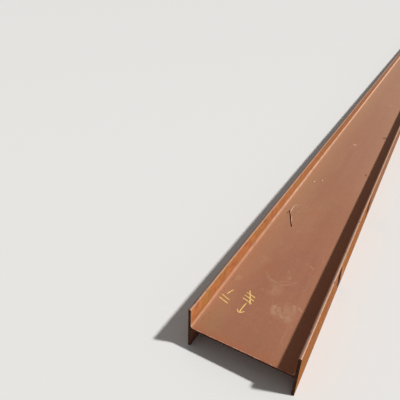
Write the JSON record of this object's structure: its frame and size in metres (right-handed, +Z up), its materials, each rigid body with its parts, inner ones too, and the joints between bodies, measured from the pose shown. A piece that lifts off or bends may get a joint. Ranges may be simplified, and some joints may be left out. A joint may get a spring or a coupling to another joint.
{
  "type": "steel i-beam",
  "caption": "Hot-rolled wide-flange steel beam in a full stock length, weathered bare, with square-cut ends; lies on its flange tips with the web level.",
  "frame": {"origin": "on the ground under the middle of the beam, midway between the two flanges", "axes": "+Y along the beam from the near cut end to the far one, +Z up from the web's upper face, +X from one flange to the other"},
  "size_m": [0.4028, 12.192, 0.1774],
  "materials": {
    "rusted_steel": "matte",
    "yellow_marker": "matte",
    "dry_debris": "matte"
  },
  "bodies": {
    "root": {"i_beam": "rusted_steel"}
  },
  "joints": []
}
